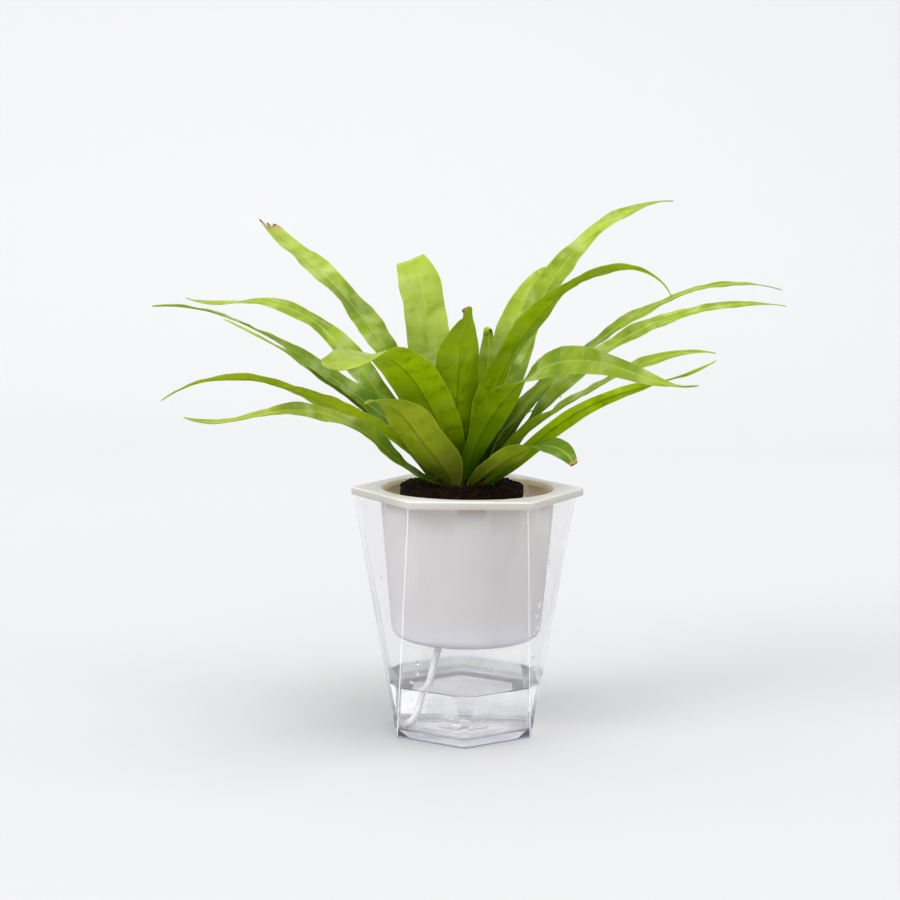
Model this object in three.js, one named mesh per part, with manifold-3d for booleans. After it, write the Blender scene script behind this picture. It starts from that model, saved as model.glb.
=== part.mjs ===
// A young bird's-nest fern in a self-watering planter, in millimetres, +Z up.
// The origin is the middle of the vessel's underside, and the front of the object faces -Y.

import * as THREE from "three";
import { mergeVertices } from "three/addons/utils/BufferGeometryUtils.js";
import Module from "manifold-3d";

const wasm = await Module();
wasm.setup();

// Planter sizes
const VESSEL_HEIGHT = 142.5;
const VESSEL_TOP_CORNER = 67.2; // corner radius of the hexagon at the rim
const VESSEL_BASE_CORNER = 46.3; // corner radius of the hexagon below, turned by 30 degrees
const VESSEL_WALL = 2.2;
const VESSEL_FLOOR = 5;
const GATE_MARK = { radius: 9, height: 0.8 }; // raised round mark on the vessel's floor
const WATER_LEVEL = 31;
const FLANGE_CORNER = 70;
const FLANGE_LIP = 4.5;
const FLANGE_PLATE = 2.4;
const LIP_WIDTH = 9;
const POT_SHIFT = [1.6, 0.6]; // the inner pot hangs a little to one side in the vessel
const POT_MOUTH = 50.9; // inner radius at the flange
const POT_WALL = 1.7;
const POT_FOOT = 45.4; // outer radius just above the rounded bottom edge
const POT_BOTTOM = 57.6; // height of the pot's underside
const POT_FLOOR = 2.2;
const POT_EDGE = 6; // radius of the rounded bottom edge
const POT_CHAMFER = 0.8; // bevel at the mouth
const CLEARANCE = 0.3;

// Plant sizes
const SOIL_LEVEL = 149.5;
const ROOT_BALL = { x: -2, y: 1, top: 37, bottom: 31 };
const CROWN = { x: -2, y: 0, radius: 20.5, depth: 13, rise: 3 };
const PLUG_ROWS = [0, 0.12, 0.3, 0.5, 0.7, 0.86, 0.97]; // heights as shares of the root ball's
const PLUG_TOP_ROWS = [0.94, 0.8, 0.6]; // rings on its top as shares of its radius
const PLUG_ROUGHNESS = { side: 0.6, top: 0.45 };
const PLUG_SHOULDER = 0.8; // how much lower the top is at its edge
const WICK_DIAMETER = 4.2;
const WICK_HOLE = 5.4;
const BLADE = 0.8; // thickness of a blade
const MIDRIB = 1.5; // thickness at its midrib
const FOLD = 18; // how far the two halves of a blade are raised from flat, in degrees
const FOOT_WIDTH = 0.4; // width of a frond's foot as a share of its full width
const FULL_WIDTH_AT = 0.3; // share of the length where the full width is reached
const EDGE_SHIFT = 2.1; // the two edges of a blade ripple out of step, in radians
const SOCKET_DEPTH = 7; // how far a frond's foot is sunk in the crown
const SOCKET_REACH = 10; // how far the cut for it reaches above the crown
const SOCKET_WIDTH_AT = 0.06; // share of the length whose width sets the width of the cut

// Fineness
const STEPS = 18; // cross-sections along a frond
const ACROSS = [-1, -0.5, 0, 0.5, 1]; // places of the points across a blade
const CUP_SIDES = 72;
const PLUG_SIDES = 28;
const HOLE_SIDES = 20;
const WICK_SIDES = 10;
const ARC_STEPS = [0, 30, 60, 90]; // degrees along a rounded edge
const WIDE = 200; // wider than anything that it cuts

// Middle line of the wick, from inside the root ball to its bare end in the vessel's corner
const WICK_ROUTE = [
  [-15, -8, 72],
  [-15, -8, 60],
  [-15.6, -8.6, 51],
  [-17.6, -10.4, 42],
  [-20, -12.6, 33],
  [-22.4, -14.6, 24.5],
  [-25, -16.2, 17],
  [-28.4, -17.6, 11],
  [-31.6, -18.8, 8.2],
  [-34.4, -19.9, 7.6],
];

// Fronds. ring and at: where the foot stands round the crown's middle, in mm and degrees.
// heading and climb: compass direction and angle above the horizon, in degrees, at even
// steps from foot to tip. roll: turn of the blade about its own length. wave: height of the
// edge's ripple, waves: how many. foot and tip: width there as a share of the width. taper:
// where along the length the blade starts to narrow, fall: how suddenly it narrows.
const FRONDS = {
  frond_left_1: {
    ring: 8.5, at: 139, heading: [146, 146], climb: [68, 55, 49, 36, 44], length: 208, width: 20,
    roll: [44, 18, 11], taper: 0.8, fall: 1.5, tip: 0.6, waves: 4.5, wave: 1.1, phase: 2.5,
  },
  frond_left_2: {
    ring: 14, at: 158, heading: [155, 156], climb: [58, 50, 40, 4, 21], length: 222, width: 16,
    roll: [29, 43, 33], taper: 0.4, fall: 0.9, tip: 0.03, waves: 4, wave: 1.4, phase: 1,
  },
  frond_left_3: {
    ring: 14, at: 188, heading: [176, 197], climb: [72, 38, 35, 23, -4], length: 205, width: 21,
    roll: [26, 25, -28], taper: 0.3, fall: 0.9, tip: 0.03, waves: 3.5, wave: 1, phase: 0,
  },
  frond_left_4: {
    ring: 17.5, at: 174, heading: [188, 161], climb: [56, 41, 32, 20], length: 162, width: 9,
    roll: [-5, 41, 7], taper: 0.3, fall: 0.9, tip: 0.03, waves: 3, wave: 0.8, phase: 0,
  },
  frond_left_5: {
    ring: 18.5, at: 202, heading: [197, 210], climb: [77, 29, 23, 4, -32], length: 188, width: 15,
    roll: [-33, -26, -38], taper: 0.4, fall: 1.1, tip: 0.03, waves: 3, wave: 0.8, phase: 0,
  },
  frond_left_6: {
    ring: 17, at: 218, heading: [220, 203], climb: [13, 38, 19, -8, 25], length: 176, width: 14,
    roll: [29, 50, 31], taper: 0.35, fall: 0.9, tip: 0.03, waves: 3, wave: 1.5, phase: 0,
  },
  frond_arching_left: {
    ring: 8.5, at: 222, heading: [243, 233], climb: [96, 48, 35, 2, 9], length: 168, width: 28,
    roll: [21, -29, 67], taper: 0.7, fall: 1.5, tip: 0.15, waves: 3, wave: 1.5, phase: 0,
  },
  frond_upright: {
    ring: 5, at: 147, heading: [127, 140], climb: [79, 70, 80, 52], length: 137, width: 27,
    roll: [31, 32, 34], taper: 0.85, fall: 2, tip: 0.7, waves: 3, wave: 1.2, phase: 0, foot: 0.3,
  },
  frond_middle: {
    ring: 5.5, at: 251, heading: [249, 295], climb: [92, 68, 66, 48], length: 114, width: 29,
    roll: [4, -13, -36], taper: 0.7, fall: 2, tip: 0.05, waves: 2.5, wave: 1, phase: 0, foot: 0.32,
  },
  frond_young: {
    ring: 5, at: 38, heading: [40, 60], climb: [84, 71, 84, 95], length: 100, width: 17,
    roll: [-3, -5, -13], taper: 0.5, fall: 1.5, tip: 0.1, waves: 2, wave: 0.5, phase: 0, fold: 25,
  },
  frond_right_1: {
    ring: 10.5, at: 66, heading: [48, 57], climb: [66, 58, 63, 21], length: 154, width: 29,
    roll: [-2, -6, -44], taper: 0.6, fall: 1.5, tip: 0.1, waves: 3, wave: 1.2, phase: 0, foot: 0.34,
  },
  frond_right_2: {
    ring: 10.5, at: 4, heading: [24, 27], climb: [76, 67, 43, 1], length: 234, width: 21,
    roll: [7, -23, -45], taper: 0.4, fall: 1.2, tip: 0.03, waves: 4, wave: 1.5, phase: 0, foot: 0.34,
  },
  frond_right_3: {
    ring: 11.5, at: 317, heading: [316, 334], climb: [87, 68, 49, 20, -66], length: 205, width: 24,
    roll: [4, 5, 21], taper: 0.5, fall: 1.1, tip: 0.03, waves: 3.5, wave: 1.2, phase: 0, foot: 0.34,
  },
  frond_right_4: {
    ring: 12.5, at: 275, heading: [299, 311], climb: [70, 43, 18, -10, 14], length: 222, width: 18,
    roll: [-9, 31, -55, -82, 0], taper: 0.55, fall: 1.1, tip: 0.03, waves: 3, wave: 1.5, phase: 0,
  },
  frond_right_5: {
    ring: 14, at: 345, heading: [348, 343], climb: [77, 62, 48, 30], length: 84, width: 23,
    roll: [0, -19, -30], taper: 0.6, fall: 1.3, tip: 0.1, waves: 2.5, wave: 1, phase: 0, foot: 0.36,
  },
  frond_right_6: {
    ring: 13.5, at: 26, heading: [20, 9], climb: [64, 46, 34, 16, -17], length: 242, width: 14,
    roll: [-21, -22, -41], taper: 0.35, fall: 0.9, tip: 0.03, waves: 4, wave: 1.2, phase: 0,
  },
  frond_right_7: {
    ring: 17.5, at: 15, heading: [-8, 26], climb: [51, 51, 30, 10, -8], length: 233, width: 15,
    roll: [-9, -37, -62], taper: 0.35, fall: 0.9, tip: 0.03, waves: 4, wave: 1.2, phase: 0,
  },
  frond_right_8: {
    ring: 17.5, at: 337, heading: [335, 356], climb: [74, 36, 27, -12], length: 162, width: 18,
    roll: [15, -13, -96], taper: 0.35, fall: 0.9, tip: 0.03, waves: 3, wave: 1, phase: 0,
  },
  frond_right_9: {
    ring: 18, at: 315, heading: [338, 321], climb: [32, 38, 18, 33], length: 165, width: 10,
    roll: [66, 81, -7], taper: 0.4, fall: 1, tip: 0.03, waves: 3, wave: 1, phase: 0,
  },
  frond_front_right: {
    ring: 17, at: 287, heading: [316, 313], climb: [39, 30, 11, -55], length: 89, width: 17,
    roll: [10, 14, -73], taper: 0.7, fall: 1.5, tip: 0.25, waves: 2, wave: 1.2, phase: 0, foot: 0.36,
  },
  frond_front_left: {
    ring: 18, at: 251, heading: [240, 203], climb: [66, 41, 46, -29], length: 89, width: 27,
    roll: [-12, -29, -5], taper: 0.65, fall: 1.6, tip: 0.1, waves: 2, wave: 1.2, phase: 0, foot: 0.36,
  },
  frond_back_1: {
    ring: 16.5, at: 52, heading: [52, 58], climb: [56, 36, 12, -14], length: 118, width: 18,
    roll: [-3, 6, -6], taper: 0.4, fall: 1, tip: 0.03, waves: 3, wave: 1.2, phase: 1,
  },
  frond_back_2: {
    ring: 14.5, at: 83, heading: [76, 68], climb: [64, 47, 29, 1], length: 140, width: 20,
    roll: [0, -11, 0], taper: 0.45, fall: 1.1, tip: 0.03, waves: 3, wave: 1.2, phase: 2,
  },
  frond_back_3: {
    ring: 10.5, at: 106, heading: [85, 86], climb: [70, 62, 37, 8], length: 128, width: 18,
    roll: [0, 0, -3], taper: 0.5, fall: 1.2, tip: 0.03, waves: 3, wave: 1.1, phase: 0,
  },
  frond_back_4: {
    ring: 14, at: 121, heading: [114, 107], climb: [67, 44, 21, -13], length: 138, width: 17,
    roll: [0, -8, 2], taper: 0.4, fall: 1, tip: 0.03, waves: 3, wave: 1.3, phase: 3,
  },
  frond_back_5: {
    ring: 18.5, at: 55, heading: [67, 58], climb: [55, 29, 6, -22], length: 112, width: 18,
    roll: [0, 0, 0], taper: 0.4, fall: 1, tip: 0.03, waves: 3, wave: 1, phase: 2,
  },
  frond_back_6: {
    ring: 18.5, at: 96, heading: [97, 91], climb: [50, 28, 4, -25], length: 150, width: 19,
    roll: [0, 0, 0], taper: 0.4, fall: 1, tip: 0.03, waves: 3, wave: 1.2, phase: 0,
  },
  frond_back_7: {
    ring: 18.5, at: 132, heading: [128, 118], climb: [51, 30, 7, -18], length: 115, width: 18,
    roll: [0, 0, 0], taper: 0.4, fall: 1, tip: 0.03, waves: 3, wave: 1, phase: 1,
  },
};

const COLOURS = {
  clear: { color: 0xf2f4fa, roughness: 0.05, transparent: true, opacity: 0.25 },
  water: { color: 0xeef3f6, roughness: 0.02, transparent: true, opacity: 0.2 },
  ivory: { color: 0xdedbcf, roughness: 0.4 },
  cotton: { color: 0xf0eeea, roughness: 0.9 },
  peat: { color: 0x241910, roughness: 1 },
  rhizome: { color: 0x3a2a14, roughness: 0.95 },
  leaf: { color: 0x7fa61c, roughness: 0.4 },
};

const radians = THREE.MathUtils.degToRad;
const group = new THREE.Group();

// Adds one named piece to the part
function addPiece(name, geometry, look) {
  const mesh = new THREE.Mesh(geometry, new THREE.MeshStandardMaterial({ ...look, metalness: 0 }));
  mesh.name = name;
  group.add(mesh);
}

// Closed geometry to solid
function toSolid(geometry) {
  let bare = geometry.clone();
  bare.deleteAttribute("normal");
  bare.deleteAttribute("uv");
  bare = mergeVertices(bare, 1e-4);
  return new wasm.Manifold(new wasm.Mesh({
    numProp: 3,
    vertProperties: new Float32Array(bare.attributes.position.array),
    triVerts: new Uint32Array(bare.index.array),
  }));
}

// Solid back to geometry, keeping only its largest body
function toGeometry(solid) {
  const bodies = solid.decompose();
  bodies.sort((a, b) => b.volume() - a.volume());
  const mesh = bodies[0].getMesh();
  return meshOf(Array.from(mesh.vertProperties), Array.from(mesh.triVerts));
}

// Geometry from a list of coordinates and a list of corner numbers
function meshOf(positions, triangles) {
  const geometry = new THREE.BufferGeometry();
  geometry.setAttribute("position", new THREE.Float32BufferAttribute(positions, 3));
  geometry.setIndex(triangles);
  geometry.computeVertexNormals();
  return geometry;
}

// Corners of a level hexagon: radius to the corners, height, and direction of the first one
function hexagon(radius, height, firstCorner) {
  return [0, 1, 2, 3, 4, 5].map((i) => {
    const angle = radians(firstCorner + 60 * i);
    return [radius * Math.cos(angle), radius * Math.sin(angle), height];
  });
}

// Twelve-sided body between a hexagon below and one above that is turned by 30 degrees
function antiprism(below, above) {
  const points = [...below, ...above];
  const triangles = [];
  for (let i = 0; i < 6; i += 1) {
    const next = (i + 1) % 6;
    triangles.push(i, next, 6 + i, next, 6 + next, 6 + i);
  }
  for (let i = 1; i < 5; i += 1) {
    triangles.push(0, i + 1, i, 6, 6 + i, 7 + i);
  }
  return meshOf(points.flat(), triangles);
}

// Wide slab between two heights
function slab(bottom, top) {
  return new THREE.BoxGeometry(WIDE, WIDE, top - bottom).translate(0, 0, (bottom + top) / 2);
}

// Upright drum between two heights
function drum(radius, x, y, bottom, top) {
  const shape = new THREE.CylinderGeometry(radius, radius, top - bottom, HOLE_SIDES);
  return shape.rotateX(Math.PI / 2).translate(x, y, (bottom + top) / 2);
}

// Upright prism over corners
function prism(corners, bottom, top) {
  const shape = new THREE.Shape(corners.map(([x, y]) => new THREE.Vector2(x, y)));
  const body = new THREE.ExtrudeGeometry(shape, { depth: top - bottom, bevelEnabled: false });
  return body.translate(0, 0, bottom);
}

// Turned body round an upright line: profile is a list of [radius, height]
function turned(profile, sides, x, y) {
  const points = profile.map(([radius, height]) => new THREE.Vector2(radius, height));
  return new THREE.LatheGeometry(points, sides).rotateX(Math.PI / 2).translate(x, y, 0);
}

// A hexagon's distance to its flat sides over its distance to its corners
const HEX_RATIO = Math.cos(Math.PI / 6);

// Vessel with its wall moved inwards by inset, up to the rim and down to the base plane
function vesselSpace(inset) {
  const below = hexagon(VESSEL_BASE_CORNER - inset / HEX_RATIO, 0, -30);
  const above = hexagon(VESSEL_TOP_CORNER - inset / HEX_RATIO, VESSEL_HEIGHT, 0);
  return toSolid(antiprism(below, above));
}

function outerVessel() {
  const base = toSolid(slab(-1, VESSEL_FLOOR));
  const room = vesselSpace(VESSEL_WALL).subtract(base);
  const shell = vesselSpace(0).subtract(room);
  const mark = drum(GATE_MARK.radius, 0, 0, VESSEL_FLOOR - 1, VESSEL_FLOOR + GATE_MARK.height);
  return toGeometry(shell.add(toSolid(mark)));
}

// Tube along the wick's route
function wickTube(diameter) {
  const route = new THREE.CatmullRomCurve3(WICK_ROUTE.map((p) => new THREE.Vector3(...p)));
  const corners = [];
  for (let i = 0; i < WICK_SIDES; i += 1) {
    const angle = (2 * Math.PI * i) / WICK_SIDES;
    const radius = diameter / 2;
    corners.push(new THREE.Vector2(radius * Math.cos(angle), radius * Math.sin(angle)));
  }
  const steps = Math.round(route.getLength() / WICK_DIAMETER);
  const section = new THREE.Shape(corners);
  return new THREE.ExtrudeGeometry(section, { steps, extrudePath: route, bevelEnabled: false });
}

function water() {
  const below = toSolid(slab(-1, VESSEL_FLOOR + GATE_MARK.height + CLEARANCE));
  const above = toSolid(slab(WATER_LEVEL, VESSEL_HEIGHT + 1));
  const wickHole = toSolid(wickTube(WICK_DIAMETER + 2 * CLEARANCE));
  const room = vesselSpace(VESSEL_WALL + CLEARANCE);
  return toGeometry(room.subtract(below).subtract(above).subtract(wickHole));
}

const POT_SEAT = VESSEL_HEIGHT + CLEARANCE; // where the lip of the inner pot rests
const POT_RIM = POT_SEAT + FLANGE_LIP;

// Round edge of the cup: middle and radius of the arc, as points from level to upright
function cupEdge(height, radius) {
  return ARC_STEPS.map((step) => [
    POT_FOOT - POT_EDGE + radius * Math.cos(radians(step)),
    height - radius * Math.sin(radians(step)),
  ]);
}

// Cup wall and floor, from the mouth down the inside and back up the outside
function cupProfile() {
  const floor = POT_BOTTOM + POT_FLOOR;
  const inner = POT_EDGE - POT_WALL;
  const outer = POT_MOUTH + POT_WALL;
  return [
    [POT_MOUTH + POT_CHAMFER, POT_RIM],
    [POT_MOUTH, POT_RIM - POT_CHAMFER],
    ...cupEdge(floor + inner, inner),
    [0, floor],
    [0, POT_BOTTOM],
    ...cupEdge(POT_BOTTOM + POT_EDGE, POT_EDGE).reverse(),
    [outer, POT_RIM - FLANGE_PLATE],
    [outer, POT_RIM],
    [POT_MOUTH + POT_CHAMFER, POT_RIM],
  ];
}

function innerPot() {
  const [dx, dy] = POT_SHIFT;
  const inside = FLANGE_CORNER - LIP_WIDTH / HEX_RATIO;
  const plate = toSolid(prism(hexagon(FLANGE_CORNER, 0, 0), POT_SEAT, POT_RIM));
  const hollow = toSolid(prism(hexagon(inside, 0, 0), POT_SEAT - 1, POT_RIM - FLANGE_PLATE));
  const middle = (POT_MOUTH + POT_CHAMFER + POT_MOUTH + POT_WALL) / 2;
  const mouth = toSolid(turned(
    [[0, POT_SEAT - 1], [middle, POT_SEAT - 1], [middle, POT_RIM + 1], [0, POT_RIM + 1]],
    CUP_SIDES,
    0,
    0,
  ));
  const cup = toSolid(turned(cupProfile(), CUP_SIDES, 0, 0));
  const pot = plate.subtract(hollow).subtract(mouth).add(cup);
  const [wickX, wickY] = WICK_ROUTE[1];
  const floor = POT_BOTTOM + POT_FLOOR;
  const hole = toSolid(drum(WICK_HOLE / 2, wickX - dx, wickY - dy, POT_BOTTOM - 1, floor + 1));
  return toGeometry(pot.subtract(hole)).translate(dx, dy, 0);
}

// Value at t from 0 to 1 of the smooth curve through evenly spaced values
function along(values, t) {
  const last = values.length - 1;
  let sum = 0;
  for (let i = 0; i <= last; i += 1) {
    let share = 1;
    for (let j = 0; j <= last; j += 1) {
      if (j !== i) {
        share *= (t * last - j) / (i - j);
      }
    }
    sum += values[i] * share;
  }
  return sum;
}

// Direction, right-hand side and upper side of a frond at t
function frameAt(frond, t) {
  const heading = radians(along(frond.heading, t));
  const climb = radians(along(frond.climb, t));
  const roll = radians(along(frond.roll, t));
  const forward = new THREE.Vector3(
    Math.cos(climb) * Math.cos(heading),
    Math.cos(climb) * Math.sin(heading),
    Math.sin(climb),
  );
  const side = new THREE.Vector3(Math.sin(heading), -Math.cos(heading), 0);
  side.applyAxisAngle(forward, -roll);
  const up = side.clone().cross(forward);
  return { forward, side, up };
}

// Where a frond leaves the crown
function footOf(frond) {
  const angle = radians(frond.at);
  const x = CROWN.x + frond.ring * Math.cos(angle);
  const y = CROWN.y + frond.ring * Math.sin(angle);
  return new THREE.Vector3(x, y, SOIL_LEVEL + crownRise(frond.ring));
}

// Height of the crown's top over the soil at a distance from its middle
function crownRise(distance) {
  return CROWN.rise * (1 - (distance / CROWN.radius) ** 2);
}

// Width of a frond at t as a share of its full width
function widthAt(frond, t) {
  const foot = frond.foot ?? FOOT_WIDTH;
  const grown = Math.sin((Math.PI / 2) * Math.min(t / FULL_WIDTH_AT, 1));
  const late = Math.max(0, (t - frond.taper) / (1 - frond.taper));
  return (foot + (1 - foot) * grown) * (1 - (1 - frond.tip) * late ** frond.fall);
}

// Points of a frond's upper and lower face, row by row from the sunk foot to the tip
function frondRows(frond) {
  const rows = [];
  const place = footOf(frond);
  const start = frameAt(frond, 0);
  const step = frond.length / STEPS;
  for (let i = -1; i <= STEPS; i += 1) {
    const t = Math.max(i, 0) / STEPS;
    const { side, up } = frameAt(frond, t);
    const middle = i < 0 ? place.clone().addScaledVector(start.forward, -SOCKET_DEPTH) : place;
    rows.push(frondRow(frond, t, middle, side, up));
    if (i >= 0) {
      place.addScaledVector(frameAt(frond, t + 0.5 / STEPS).forward, step);
    }
  }
  return rows;
}

// One row of points, with the raised halves, the rippled edges and the midrib below
function frondRow(frond, t, middle, side, up) {
  const half = (frond.width / 2) * widthAt(frond, t);
  const fold = radians((frond.fold ?? FOLD) * (1 - t / 2));
  const swell = Math.sqrt(Math.max(0, Math.sin(Math.PI * t)));
  const thick = MIDRIB + (BLADE - MIDRIB) * t;
  const upper = [];
  const lower = [];
  for (const u of ACROSS) {
    const turn = frond.phase + (u < 0 ? 0 : EDGE_SHIFT);
    const ripple = frond.wave * swell * u * u * Math.sin(2 * Math.PI * frond.waves * t + turn);
    const out = half * u * Math.cos(fold);
    const lift = half * Math.abs(u) * Math.sin(fold) + ripple;
    const point = middle.clone().addScaledVector(side, out).addScaledVector(up, lift);
    upper.push(point.clone().addScaledVector(up, BLADE / 2));
    lower.push(point.addScaledVector(up, -(u === 0 ? thick - BLADE / 2 : BLADE / 2)));
  }
  return { upper, lower };
}

// One closed blade: both faces split into the same triangles, joined round the edge
function frondBlade(frond) {
  const rows = frondRows(frond);
  const count = ACROSS.length;
  const points = rows.flatMap((row) => [...row.upper, ...row.lower]);
  const positions = points.flatMap((point) => point.toArray());
  const upper = (i, j) => 2 * count * i + j;
  const lower = (i, j) => upper(i, j) + count;
  const triangles = [];
  const quad = (a, b, c, d) => triangles.push(a, b, c, a, c, d);
  for (let i = 0; i < rows.length - 1; i += 1) {
    for (let j = 0; j < count - 1; j += 1) {
      quad(upper(i, j), upper(i, j + 1), upper(i + 1, j + 1), upper(i + 1, j));
      triangles.push(lower(i, j), lower(i + 1, j + 1), lower(i, j + 1));
      triangles.push(lower(i, j), lower(i + 1, j), lower(i + 1, j + 1));
    }
    const edge = count - 1;
    quad(upper(i, 0), upper(i + 1, 0), lower(i + 1, 0), lower(i, 0));
    quad(upper(i, edge), lower(i, edge), lower(i + 1, edge), upper(i + 1, edge));
  }
  const end = rows.length - 1;
  for (let j = 0; j < count - 1; j += 1) {
    quad(upper(0, j), lower(0, j), lower(0, j + 1), upper(0, j + 1));
    quad(upper(end, j), upper(end, j + 1), lower(end, j + 1), lower(end, j));
  }
  return meshOf(positions, triangles);
}

// Plain hole that a frond's foot stands in
function socket(frond) {
  const { forward, side, up } = frameAt(frond, 0);
  const half = (frond.width / 2) * widthAt(frond, SOCKET_WIDTH_AT);
  const fold = radians(frond.fold ?? FOLD);
  const low = -(MIDRIB - BLADE / 2) - CLEARANCE;
  const high = half * Math.sin(fold) + BLADE / 2 + CLEARANCE;
  const width = 2 * (half * Math.cos(fold) + CLEARANCE);
  const deep = -SOCKET_DEPTH - CLEARANCE;
  const hole = new THREE.BoxGeometry(high - low, width, SOCKET_REACH - deep);
  hole.translate((high + low) / 2, 0, (SOCKET_REACH + deep) / 2);
  hole.applyMatrix4(new THREE.Matrix4().makeBasis(up, side, forward));
  const foot = footOf(frond);
  return hole.translate(foot.x, foot.y, foot.z);
}

// Top and side of the crown, grown larger by gap
function crownProfile(gap) {
  const { radius, depth, rise } = CROWN;
  return [
    [0, SOIL_LEVEL - depth - gap],
    [radius * 0.7 + gap, SOIL_LEVEL - depth - gap],
    [radius + gap, SOIL_LEVEL - depth / 2 - gap],
    [radius + gap, SOIL_LEVEL + gap],
    ...[0.8, 0.55, 0.3].map((share) => [
      radius * share,
      SOIL_LEVEL + crownRise(radius * share) + gap,
    ]),
    [0, SOIL_LEVEL + rise + gap],
  ];
}

function crown(sockets) {
  const body = toSolid(turned(crownProfile(0), PLUG_SIDES, CROWN.x, CROWN.y));
  return toGeometry(sockets.reduce((left, hole) => left.subtract(hole), body));
}

// Repeatable unevenness of the peat, from a sum of waves
function unevenness(angle, row) {
  const slow = Math.sin(3 * angle + 1.7 * row);
  const quick = 0.6 * Math.sin(7 * angle - 2.3 * row);
  const fine = 0.4 * Math.sin(11 * angle + row);
  return slow + quick + fine;
}

// One ring of points round the root ball, uneven outwards by side and upwards by top
function plugRing(row, radius, height, side, top) {
  const points = [];
  for (let i = 0; i < PLUG_SIDES; i += 1) {
    const angle = (2 * Math.PI * i) / PLUG_SIDES;
    const rough = unevenness(angle, row);
    points.push([
      ROOT_BALL.x + (radius + side * rough) * Math.cos(angle),
      ROOT_BALL.y + (radius + side * rough) * Math.sin(angle),
      height + top * rough,
    ]);
  }
  return points;
}

// Closed body through rings of points, from a point below them to a point above them
function ringBody(below, rings, above) {
  const points = [below, ...rings.flat(), above];
  const at = (ring, i) => 1 + ring * PLUG_SIDES + (i % PLUG_SIDES);
  const last = rings.length - 1;
  const triangles = [];
  for (let i = 0; i < PLUG_SIDES; i += 1) {
    triangles.push(0, at(0, i + 1), at(0, i));
    for (let ring = 0; ring < last; ring += 1) {
      triangles.push(at(ring, i), at(ring, i + 1), at(ring + 1, i + 1));
      triangles.push(at(ring, i), at(ring + 1, i + 1), at(ring + 1, i));
    }
    triangles.push(at(last, i), at(last, i + 1), points.length - 1);
  }
  return meshOf(points.flat(), triangles);
}

// Peat plug with a rough side and top, and the room for the crown and the wick in it
function rootBall(sockets) {
  const bottom = POT_BOTTOM + POT_FLOOR + CLEARANCE;
  const { x, y } = ROOT_BALL;
  const wider = ROOT_BALL.top - ROOT_BALL.bottom;
  const rings = PLUG_ROWS.map((share, row) => {
    const height = bottom + (SOIL_LEVEL - bottom) * share;
    return plugRing(row, ROOT_BALL.bottom + wider * share, height, PLUG_ROUGHNESS.side, 0);
  });
  for (const [i, share] of PLUG_TOP_ROWS.entries()) {
    const height = SOIL_LEVEL - (i === 0 ? PLUG_SHOULDER : 0);
    const row = i + PLUG_ROWS.length + 2;
    rings.push(plugRing(row, ROOT_BALL.top * share, height, 0, PLUG_ROUGHNESS.top));
  }
  const plug = toSolid(ringBody([x, y, bottom], rings, [x, y, SOIL_LEVEL]));
  const [wickX, wickY, wickTop] = WICK_ROUTE[0];
  const wickHole = toSolid(drum(WICK_HOLE / 2, wickX, wickY, bottom - 1, wickTop + 1));
  const recess = toSolid(turned(crownProfile(CLEARANCE), PLUG_SIDES, CROWN.x, CROWN.y));
  const cut = plug.subtract(recess).subtract(wickHole);
  return toGeometry(sockets.reduce((left, hole) => left.subtract(hole), cut));
}

const sockets = Object.values(FRONDS).map((frond) => toSolid(socket(frond)));

addPiece("outer_vessel", outerVessel(), COLOURS.clear);
addPiece("water", water(), COLOURS.water);
addPiece("inner_pot", innerPot(), COLOURS.ivory);
addPiece("wick", wickTube(WICK_DIAMETER), COLOURS.cotton);
addPiece("root_ball", rootBall(sockets), COLOURS.peat);
addPiece("crown", crown(sockets), COLOURS.rhizome);
for (const [name, frond] of Object.entries(FRONDS)) {
  addPiece(name, frondBlade(frond), COLOURS.leaf);
}

export default group;
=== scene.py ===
import math
import random

import bpy
from mathutils import Matrix, Vector, noise


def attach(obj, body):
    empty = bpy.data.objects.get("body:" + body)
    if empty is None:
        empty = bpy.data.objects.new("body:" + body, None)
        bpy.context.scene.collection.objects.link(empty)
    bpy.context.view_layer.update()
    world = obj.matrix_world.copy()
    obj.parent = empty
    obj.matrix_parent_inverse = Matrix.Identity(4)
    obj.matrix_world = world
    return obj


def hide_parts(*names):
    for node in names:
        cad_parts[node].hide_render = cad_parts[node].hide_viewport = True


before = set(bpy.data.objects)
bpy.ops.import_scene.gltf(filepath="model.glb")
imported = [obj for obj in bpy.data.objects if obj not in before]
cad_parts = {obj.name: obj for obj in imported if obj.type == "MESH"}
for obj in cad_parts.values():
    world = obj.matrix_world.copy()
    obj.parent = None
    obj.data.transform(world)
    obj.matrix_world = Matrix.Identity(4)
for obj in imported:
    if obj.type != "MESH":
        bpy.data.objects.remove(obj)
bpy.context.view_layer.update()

MM = 0.001

# Sizes of the CAD model that the finer pieces repeat, in millimetres
VESSEL_HEIGHT = 142.5
VESSEL_TOP_CORNER = 67.2
VESSEL_BASE_CORNER = 46.3
VESSEL_WALL = 2.2
VESSEL_FLOOR = 5
WATER_LEVEL = 31
FLANGE_CORNER = 70
FLANGE_LIP = 4.5
FLANGE_PLATE = 2.4
LIP_WIDTH = 9
POT_SHIFT = (1.6, 0.6)
POT_MOUTH = 50.9
POT_WALL = 1.7
POT_FOOT = 45.4
POT_BOTTOM = 57.6
POT_FLOOR = 2.2
POT_EDGE = 6
CLEARANCE = 0.3
SOIL_LEVEL = 149.5
ROOT_BALL = {"x": -2, "y": 1, "top": 37, "bottom": 31}
CROWN = {"x": -2, "y": 0, "radius": 20.5, "depth": 13, "rise": 3}
WICK_DIAMETER = 4.2
WICK_HOLE = 5.4
FULL_WIDTH_AT = 0.3
EDGE_SHIFT = 2.1
SOCKET_DEPTH = 7

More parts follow.
